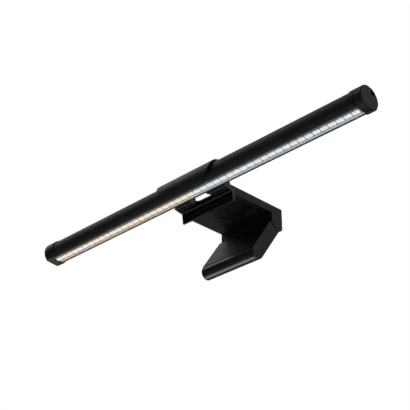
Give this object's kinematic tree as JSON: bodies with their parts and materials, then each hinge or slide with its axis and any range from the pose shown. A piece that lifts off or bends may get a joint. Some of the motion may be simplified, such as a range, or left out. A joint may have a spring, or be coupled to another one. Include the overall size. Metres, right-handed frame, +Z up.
{
  "type": "monitor light bar",
  "caption": "Round light bar with a flat LED window, held in a turning cradle on a sprung clip that hangs on a screen's top edge.",
  "frame": {"origin": "middle of the rest face under the clip's arm, which lies on the screen's top edge", "axes": "+X along the lamp, to the right seen from the user; +Y towards the back of the screen; +Z up"},
  "size_m": [0.447, 0.109, 0.0877],
  "materials": {
    "black_anodised": "satin black anodised aluminium",
    "black_plastic": "fine matte moulded plastic",
    "gloss_black": "satin to glossy moulded plastic",
    "clear_window": "clear polycarbonate strip",
    "white_reflector": "white reflective plastic",
    "white_board": "white solder mask",
    "green_board": "green solder mask",
    "warm_emitter": "warm phosphor",
    "cool_emitter": "cool phosphor",
    "led_body": "white moulded package",
    "bare_aluminium": "mill finish",
    "steel": "zinc plated",
    "black_steel": "black oxide",
    "chip_black": "moulded chip and component bodies",
    "lead_wire": "insulated lead",
    "flat_cable": "flexible flat cable",
    "black_rubber": "soft silicone",
    "nylon": "natural nylon",
    "foam": "foam tape"
  },
  "bodies": {
    "clip": {"cradle": "black_plastic", "cradle_pads": "black_rubber", "hook_plate": "gloss_black", "hook_pad": "black_rubber", "cradle_screws": "black_steel", "hook_screws": "steel", "arm_shell": "black_plastic", "arm_plate": "black_plastic", "arm_screws": "steel", "rest_pad": "black_rubber", "hinge_bracket": "steel", "bracket_screws": "steel", "hinge_pin": "steel", "hinge_washers": "nylon", "left_hinge_spring": "steel", "right_hinge_spring": "steel"},
    "lamp": {"lamp_tube": "black_anodised", "cap_screws": "black_steel", "right_end_cap": "black_plastic", "left_end_cap": "black_plastic", "window_lens": "clear_window", "led_board": "white_board", "led_packages": "led_body", "warm_emitters": "warm_emitter", "cool_emitters": "cool_emitter", "rear_reflector": "white_reflector", "front_baffle": "black_plastic", "carrier": "bare_aluminium", "driver_board": "green_board", "driver_parts": "chip_black", "driver_screws": "steel", "led_leads": "lead_wire", "touch_panel": "gloss_black", "touch_board": "green_board", "touch_screws": "steel", "touch_springs": "steel", "touch_leads": "flat_cable", "usb_shell": "steel", "usb_tongue": "chip_black", "usb_bezel": "black_plastic"},
    "jaw": {"jaw_shell": "black_plastic", "jaw_cover": "black_plastic", "jaw_screws": "black_steel", "jaw_weight": "steel", "weight_tape": "foam", "nose_pad": "black_rubber", "jaw_frame": "steel"}
  },
  "joints": [
    {"name": "lamp_turn", "type": "hinge", "parent": "clip", "child": "lamp", "pos_m": [0, -0.052, 0.0132], "axis": [1, 0, 0], "range_deg": [-20, 20]},
    {"name": "jaw_hinge", "type": "hinge", "parent": "clip", "child": "jaw", "pos_m": [0, 0.0364, -0.0126], "axis": [1, 0, 0], "range_deg": [0, 45], "stiffness_Nm_per_rad": 0.1, "springref_deg": -34.38, "deforming": ["left_hinge_spring", "right_hinge_spring"]}
  ]
}
